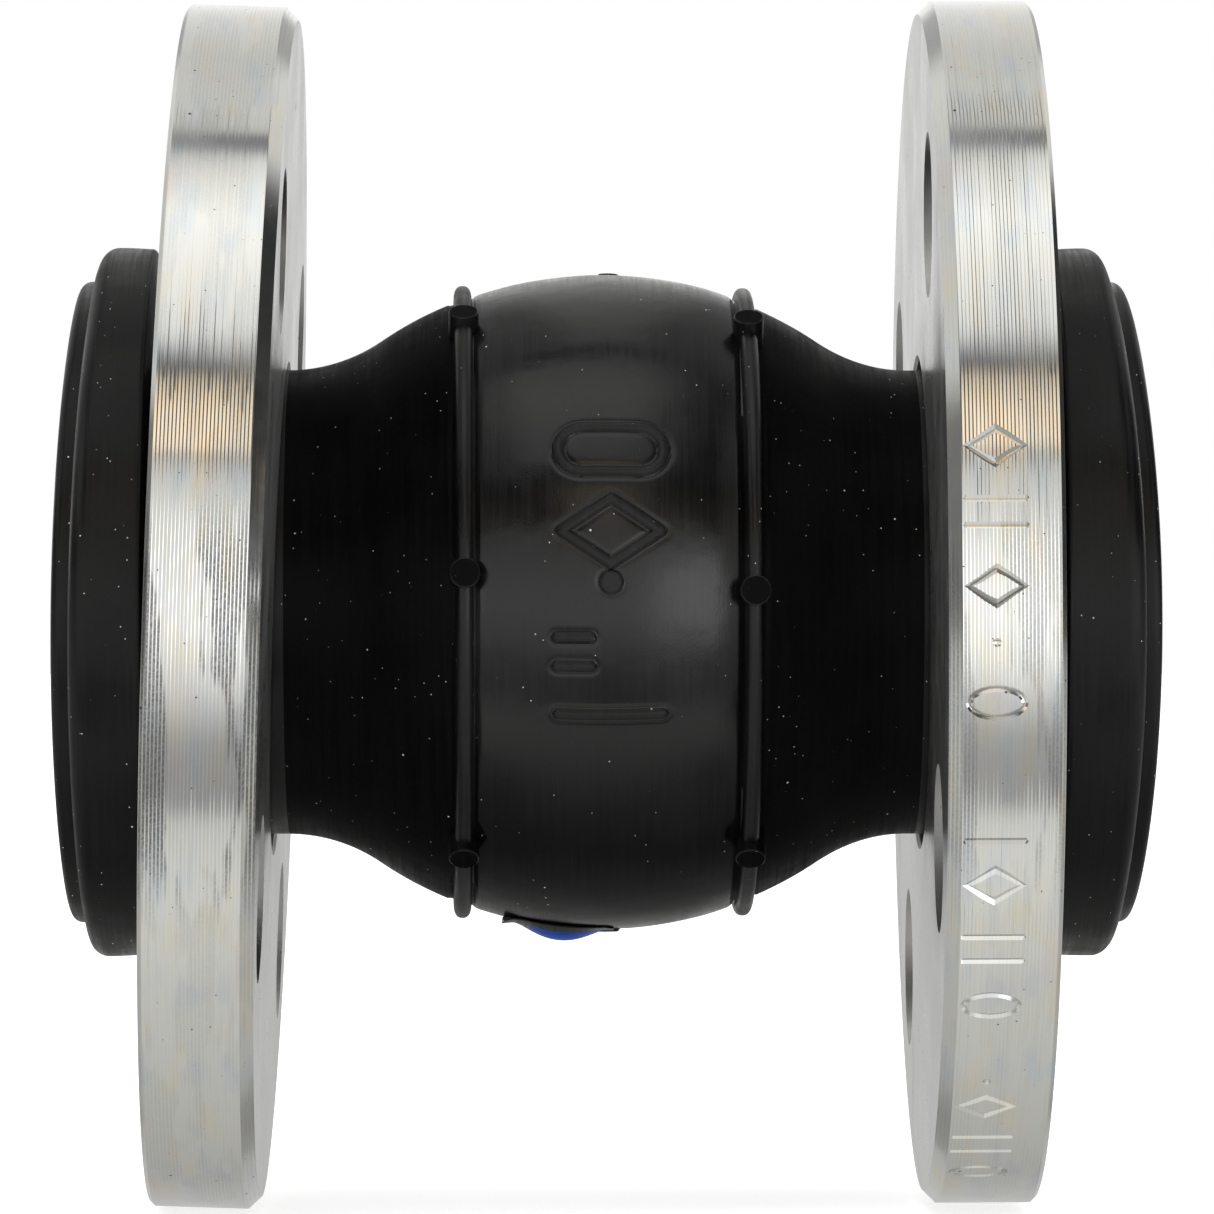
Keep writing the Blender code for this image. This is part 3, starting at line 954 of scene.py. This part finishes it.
def make_label():
    """A small blank film label under the arch, with rounded corners, not quite stuck down."""
    columns, rows = LABEL_GRID
    u, v = np.meshgrid(np.linspace(-1, 1, columns), np.linspace(-1, 1, rows))
    middle = (LABEL_START_X + LABEL_END_X) / 2
    half = (LABEL_END_X - LABEL_START_X) / 2
    shrink = np.clip(np.abs(u) - 0.8, 0, 1) / 0.2
    v_rounded = v * (1 - 0.2 * shrink**2.5)
    x = middle + u * half
    angle = -math.pi / 2 + v_rounded * LABEL_HALF_ARC
    base = wall_radius(x, 0) + label_height(u, v)
    sheets = []
    for lift in (LABEL_THICKNESS, 0.0):
        radius = base + lift
        points = np.stack([x, -radius * np.cos(angle), radius * np.sin(angle)], -1)
        sheets.append(points.reshape(-1, 3))
    count = rows * columns
    index = np.arange(count).reshape(rows, columns)
    quads = np.stack([index[:-1, :-1], index[:-1, 1:], index[1:, 1:], index[1:, :-1]], -1)
    quads = quads.reshape(-1, 4)
    border = [*index[0], *index[1:, -1], *index[-1, -2::-1], *index[-2:0:-1, 0]]
    walls = [(b, a, a + count, b + count) for a, b in zip(border, border[1:] + border[:1])]
    faces = np.concatenate([quads, quads[:, ::-1] + count, np.array(walls)])
    label = mesh_object("blank_blue_label", np.concatenate(sheets), faces, CRISP)
    dress(label, LABEL_PAPER, LABEL_FILM, LABEL_PAINTED_SHADOW)
    # Faces outside the print get the black border, painted shadow along the edge; so do the side
    # walls, but for the paper at the left end.
    for face in label.data.polygons:
        if face.index < len(quads):
            row, column = divmod(face.index, columns - 1)
            printed = abs(row - rows / 2) < PRINT_HALF * rows
            printed = printed and PRINT_START < column / columns < PRINT_END
            face.material_index = 1 if printed else 2
        elif abs(face.center.x - LABEL_START_X) > 0.3 * MM and face.index >= 2 * len(quads):
            face.material_index = 2
    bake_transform(label)
    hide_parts("blank_label")


# --- The flanges --------------------------------------------------------------------------------


def flange_outline():
    """Outline of a flange with its pipe side at -X. Its rim has three points to a groove."""
    half = FLANGE_THICKNESS / 2
    rim = [(half - FLANGE_OUTER_CHAMFER, FLANGE_RADIUS)]
    for groove in reversed(range(GROOVE_COUNT)):
        for place in (GROOVE_WIDTH, GROOVE_WIDTH / 2, 0):
            rim.append((GROOVE_START + (groove + place) * GROOVE_PITCH, FLANGE_RADIUS))
    edge = FLANGE_BORE_EDGE
    return [
        (-half, FLANGE_BORE_RADIUS + edge),
        (-half + edge, FLANGE_BORE_RADIUS),
        (half - edge, FLANGE_BORE_RADIUS),
        (half, FLANGE_BORE_RADIUS + edge),
        (half, FLANGE_RADIUS - FLANGE_OUTER_CHAMFER),
        *rim,
        (-half, FLANGE_RADIUS - FLANGE_INNER_CHAMFER),
    ]


def turned_rim(name, side):
    """Sinks the lathe tool's grooves into a rim, each a little different along and round it."""
    random = np.random.default_rng(7 + side)
    strengths = random.uniform(0.88, 1.12, GROOVE_COUNT + 1)
    phases = random.uniform(0, math.tau, GROOVE_COUNT + 1)

    def shape(x, radius, angle):
        place = (side * x - GROOVE_START) / GROOVE_PITCH
        groove = np.clip(np.floor(place + 0.01), 0, GROOVE_COUNT).astype(int)
        valley = np.abs(place - groove - GROOVE_WIDTH / 2) < 0.01
        wear = 1 + 0.25 * np.sin(3 * angle + phases[groove]) + 0.15 * np.sin(8 * angle)
        rise = np.sin(angle)
        worn_under = 0.35 + 0.65 * np.clip((rise + 0.55) / 0.25, 0, 1)
        upper, top = GROOVE_WEAR[name]
        worn_top = 1 - upper * np.clip((rise - 0.30) / 0.30, 0, 1)
        worn_top = worn_top - top * np.clip((rise - 0.78) / 0.04, 0, 1)
        depth = GROOVE_DEPTH[name] * strengths[groove] * wear * worn_under * worn_top
        on_rim = radius > FLANGE_RADIUS - 0.001 * MM
        return x, radius - np.where(on_rim & valley, depth, 0)

    return shape


def hole_tool(name):
    """Four plugs that cut the bolt holes and bevel them at both faces."""
    half = FLANGE_THICKNESS / 2
    reach = 1.0 * MM
    mouth = BOLT_HOLE_RADIUS + BOLT_HOLE_CHAMFER + reach
    line = [
        (-half - reach, mouth),
        (-half + BOLT_HOLE_CHAMFER, BOLT_HOLE_RADIUS),
        (half - BOLT_HOLE_CHAMFER, BOLT_HOLE_RADIUS),
        (half + reach, mouth),
    ]
    bm = bmesh.new()
    for i in range(BOLT_COUNT):
        angle = HOLE_ANGLES[name] + math.tau * i / BOLT_COUNT
        middle = BOLT_CIRCLE_RADIUS * Vector((0, -math.cos(angle), math.sin(angle)))
        points = [bm.verts.new(middle + Vector((x, 0, radius))) for x, radius in line]
        edges = [bm.edges.new(pair) for pair in zip(points, points[1:])]
        bmesh.ops.spin(
            bm,
            geom=points + edges,
            cent=middle,
            axis=(1, 0, 0),
            angle=math.tau,
            steps=HOLE_STEPS,
            use_merge=True,
        )
    bmesh.ops.holes_fill(bm, edges=bm.edges, sides=0)
    return bmesh_object("hole_tool", bm)


# Stamped marks down the right rim, plain shapes and no letters: the angle round the pipe in
# degrees, and the mark's shape.
STAMPS = [
    (14.0, "diamond"),
    (9.2, "bar"),
    (6.8, "bar"),
    (1.4, "diamond"),
    (-3.6, "dot"),
    (-9.0, "oval"),
    (-21.8, "bar"),
    (-26.2, "diamond"),
    (-31.6, "bar"),
    (-34.2, "bar"),
    (-39.4, "oval"),
    (-49.6, "dot"),
    (-53.6, "diamond"),
    (-59.2, "bar"),
    (-62.2, "bar"),
    (-67.4, "oval"),
]
STAMP_X = -1.0 * MM
STAMP_WIDTH = 0.62 * MM
STAMP_DEPTH = 0.22 * MM
STAMP_HALF = 3.1 * MM
DIAMOND_HALF = 1.6 * MM
OVAL_HALF = 1.3 * MM
STAMP_DOT_RADIUS = 0.81 * MM


def cut_bar(bm, place, half_length):
    """A boat-shaped wedge across the rim, which cuts a V-shaped stroke with round ends."""
    points = []
    for end in (-1, 1):
        points.append(place(end * (half_length - STAMP_WIDTH / 2), 0, -STAMP_DEPTH))
        for turn in np.radians([-90, -45, 0, 45, 90]):
            x = end * (half_length - STAMP_WIDTH + STAMP_WIDTH * math.cos(turn))
            points.append(place(x, STAMP_WIDTH * math.sin(turn), STAMP_DEPTH))
    bmesh.ops.convex_hull(bm, input=[bm.verts.new(point) for point in points])


def cut_ring(bm, place, half_width, half_height, sides):
    """A ring with a V section, which cuts a round, oval or diamond-shaped stroke."""
    section = [(STAMP_WIDTH, STAMP_DEPTH), (0, -STAMP_DEPTH), (-STAMP_WIDTH, STAMP_DEPTH)]
    rings = []
    grow = 1 / math.cos(math.pi / sides)
    for turn in np.arange(sides) * math.tau / sides:
        ring = []
        for offset, height in section:
            x = (half_width + offset * grow) * math.cos(turn)
            along = (half_height + offset * grow) * math.sin(turn)
            ring.append(bm.verts.new(place(x, along, height)))
        rings.append(ring)
    for here, there in zip(rings, rings[1:] + rings[:1]):
        for k in range(3):
            bm.faces.new((here[k], here[k - 1], there[k - 1], there[k]))


def cut_dot(bm, place, radius):
    """A blunt cone that cuts a dimple. Its radius is at its base, which stands above the rim."""
    points = [place(0, 0, -STAMP_DEPTH)]
    for turn in np.arange(ROUND_SIDES) * math.tau / ROUND_SIDES:
        points.append(place(radius * math.cos(turn), radius * math.sin(turn), STAMP_DEPTH))
    bmesh.ops.convex_hull(bm, input=[bm.verts.new(point) for point in points])


def stamp_tool():
    """Wedges, rings and cones that stamp the plain marks into the right rim."""
    bm = bmesh.new()
    for degrees, kind in STAMPS:

        def place(x, along, height, turn=math.radians(degrees)):
            angle = turn + along / FLANGE_RADIUS
            radius = FLANGE_RADIUS + height
            return Vector((x + STAMP_X, -radius * math.cos(angle), radius * math.sin(angle)))

        if kind == "bar":
            cut_bar(bm, place, STAMP_HALF)
        elif kind == "diamond":
            cut_ring(bm, place, STAMP_HALF - STAMP_WIDTH, DIAMOND_HALF, 4)
        elif kind == "oval":
            cut_ring(bm, place, STAMP_HALF - STAMP_WIDTH, OVAL_HALF, ROUND_SIDES)
        else:
            cut_dot(bm, place, STAMP_DOT_RADIUS)
    return bmesh_object("stamp_tool", bm)


def make_flange(name, side):
    """A turned, drilled and zinc-plated ring that swivels on its neck."""
    joint = JOINTS[name + "_flange_swivel"]
    outline = mirrored(flange_outline(), side)
    shape = turned_rim(name, side)
    flange = lathe(name + "_turned_flange", outline, even_angles(FLANGE_STEP), shape, FLANGE_CRISP)
    combine(flange, hole_tool(name), "DIFFERENCE", FLANGE_CRISP)
    if side > 0:
        combine(flange, stamp_tool(), "DIFFERENCE", FLANGE_CRISP)
    dress(flange, RIM_ZINC[name], FACE_ZINC, HOLE_ZINC)
    rim_starts = FLANGE_RADIUS - 2.5 * MM
    mark_faces(flange, 2, lambda face: math.hypot(face.center.y, face.center.z) < rim_starts)
    mark_faces(flange, 1, lambda face: abs(face.normal.x) > 0.8)
    axis = Vector(joint["axis"])
    turn = Vector((1, 0, 0)).rotation_difference(axis)
    lean = Matrix.Rotation(FLANGE_LEAN[name], 4, "Y")
    rest = Vector(joint["pos_m"]) + Vector(FLANGE_REST[name])
    flange.matrix_world = Matrix.Translation(rest) @ lean @ turn.to_matrix().to_4x4()
    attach(flange, name + "_flange")
    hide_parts(name + "_flange")


# --- Floor, light and camera --------------------------------------------------------------------

# Brightness of the studio by direction: degrees from the camera's side upwards, and the colour
# or level of grey that a polished surface sees there.
STUDIO_BANDS = [
    (-180, (0.60, 0.60, 0.59)),
    (-140, (0.44, 0.44, 0.43)),
    (-108, (0.54, 0.54, 0.52)),
    (-75, (0.66, 0.66, 0.64)),
    (-49, (0.80, 0.80, 0.77)),
    (-40, (0.74, 0.74, 0.72)),
    (-38.5, 0.34),
    (-25, (0.42, 0.43, 0.43)),
    (-17, (0.80, 0.80, 0.79)),
    (-2, (1.15, 1.15, 1.13)),
    (12, (0.92, 0.92, 0.90)),
    (27, (0.66, 0.66, 0.64)),
    (27.6, 0.30),
    (29.5, (1.34, 1.12, 0.86)),
    (37, (1.25, 1.03, 0.77)),
    (43, (0.72, 0.61, 0.48)),
    (44.5, (0.12, 0.12, 0.13)),
    (46.5, (0.20, 0.21, 0.22)),
    (52, 0.94),
    (62, (1.05, 1.05, 1.03)),
    (79, (1.26, 1.25, 1.20)),
    (93.5, (0.84, 0.84, 0.82)),
    (96.5, (0.24, 0.25, 0.26)),
    (100.4, (0.17, 0.17, 0.18)),
    (101.6, (0.70, 0.70, 0.68)),
    (128, (0.66, 0.66, 0.64)),
    (150, (0.78, 0.78, 0.77)),
    (180, (1.15, 1.15, 1.14)),
]
# Panels that are narrower than the room: from and to in degrees, their middle along x, where
# they start and stop fading along x, how much they fade, and where the faded part ends along x.
SIDE_FADES = [
    (-150, -62, 0.0, 0.10, 0.45, 0.4, 0.50),
    (28, 46, 0.0, 0.06, 0.24, 0.9, 0.60),
    (46, 97, -0.08, 0.18, 0.52, 0.9, 0.60),
    (102, 180, 0.0, 0.07, 0.22, 0.55, 0.36),
]
# The dark ends of the room: the side of x, where they set in along it, how low and high they
# reach, how softly they stop, and how bright they are.
ROOM_ENDS = [
    (1.0, 0.66, 0.76, -0.07, 0.62, 0.03, 0.03),
    (-1.0, 0.78, 0.90, -0.07, 0.33, 0.03, 0.18),
]
# A bright panel at the camera's right: where it sets in along x, and from and to in degrees.
LAMP_X = (0.14, 0.44)
LAMP_RISE = (-12, 16, 8)
LAMP_STRENGTH = 2.2


def ramp(tree, value, stops):
    """A colour ramp with stops at the given places from 0 to 1."""
    made = add(tree, "ValToRGB", value)
    elements = made.color_ramp.elements
    while len(elements) < len(stops):
        elements.new(0.5)
    for element, (place, colour) in zip(elements, stops):
        element.position = place
        element.color = rgba(colour)
    return made.outputs[0]


def between(tree, value, low, high, soft):
    """1 between two values and 0 outside them, with soft edges."""
    up = spread(tree, value, low - soft, low + soft)
    down = spread(tree, value, high - soft, high + soft, 1, 0)
    return times(tree, up, down)


def make_studio():
    """A soft white room for matt surfaces, with panels for polished ones to mirror."""
    world = bpy.data.worlds.new("studio")
    bpy.context.scene.world = world
    world.use_nodes = True
    tree = world.node_tree
    tree.nodes.clear()
    direction = add(tree, "TexCoord").outputs["Generated"]
    parts = add(tree, "SeparateXYZ", direction)
    x, y, z = parts.outputs
    turn = maths(tree, "ARCTAN2", z, times(tree, y, -1.0))
    degrees = times(tree, turn, 180 / math.pi)
    place = maths(tree, "ADD", times(tree, degrees, 1 / 360), 0.5)
    bands = ramp(tree, place, [((d + 180) / 360, colour) for d, colour in STUDIO_BANDS])
    sideways = maths(tree, "ABSOLUTE", x)
    dim = 0.0
    for low, high, middle, near, far, most, end in SIDE_FADES:
        off = maths(tree, "ABSOLUTE", maths(tree, "SUBTRACT", x, middle))
        fade = spread(tree, off, near, far, 0.0, most)
        fade = times(tree, fade, spread(tree, sideways, end, end + 0.12, 1.0, 0.0))
        panel = times(tree, fade, between(tree, degrees, low, high, 0.8))
        dim = maths(tree, "ADD", dim, panel)
    dimmed = mix(tree, dim, bands, 0.05)
    sides = dimmed
    for side, near, far, low, high, soft, shade in ROOM_ENDS:
        outwards = spread(tree, times(tree, x, side), near, far)
        end = times(tree, outwards, between(tree, z, low, high, soft))
        sides = mix(tree, end, sides, shade)
    lamp = times(tree, spread(tree, x, *LAMP_X), between(tree, degrees, *LAMP_RISE))
    lit = mix(tree, lamp, sides, LAMP_STRENGTH)
    rays = add(tree, "LightPath")
    mirror = add(tree, "Background", lit, 1.0)
    room = add(tree, "Background", (1, 1, 1, 1), 1.0)
    seen = add(
        tree, "MixShader", rays.outputs["Is Glossy Ray"], room.outputs[0], mirror.outputs[0]
    )
    out = tree.nodes.new("ShaderNodeOutputWorld")
    tree.links.new(seen.outputs[0], out.inputs["Surface"])


def make_lights():
    """One broad soft lamp over the object's left shoulder, for shape on matt surfaces."""
    lamp = bpy.data.lights.new("soft_key", "AREA")
    lamp.shape = "RECTANGLE"
    lamp.size = 0.9
    lamp.size_y = 0.7
    lamp.energy = 9
    key = put("soft_key", lamp)
    key.location = (-0.35, -0.55, 1.15)
    key.rotation_euler = (-key.location).to_track_quat("-Z", "Y").to_euler()
    key.visible_glossy = False


def make_floor():
    """A pale floor just under the object."""
    mesh = bpy.data.meshes.new("floor")
    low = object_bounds()[0].z - 0.02 * MM
    size = 6.0
    corners = [(-size, -size, low), (size, -size, low), (size, size, low), (-size, size, low)]
    mesh.from_pydata(corners, [], [(0, 1, 2, 3)])
    floor = put("floor", mesh)
    dress(floor, pale_floor())
    floor.visible_glossy = False
    floor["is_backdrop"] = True


CAMERA_DISTANCE = 0.75
CAMERA_LENS = 231.7
CAMERA_YAW = math.radians(0.5)
CAMERA_AIM = Vector((0.48 * MM, 0, -0.48 * MM))


def make_camera():
    data = bpy.data.cameras.new("camera")
    data.lens = CAMERA_LENS
    data.sensor_width = 36
    data.clip_start = 0.01
    data.clip_end = 30
    camera = put("camera", data)
    back = Vector((-math.sin(CAMERA_YAW), -math.cos(CAMERA_YAW), 0))
    camera.location = CAMERA_AIM + CAMERA_DISTANCE * back
    camera.rotation_euler = (math.pi / 2, 0, -CAMERA_YAW)
    bpy.context.scene.camera = camera


make_camera()
for name, side in SIDES.items():
    make_arch_half(name, side)
    make_neck(name, side)
    make_rib(name, side)
    make_collar(name, side)
    make_flange(name, side)
make_label()
make_floor()
make_studio()
make_lights()
bpy.context.scene.view_settings.view_transform = "Standard"

VISUAL_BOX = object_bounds()
[[list(corner) for corner in box] for box in (CAD_BOX, VISUAL_BOX)]
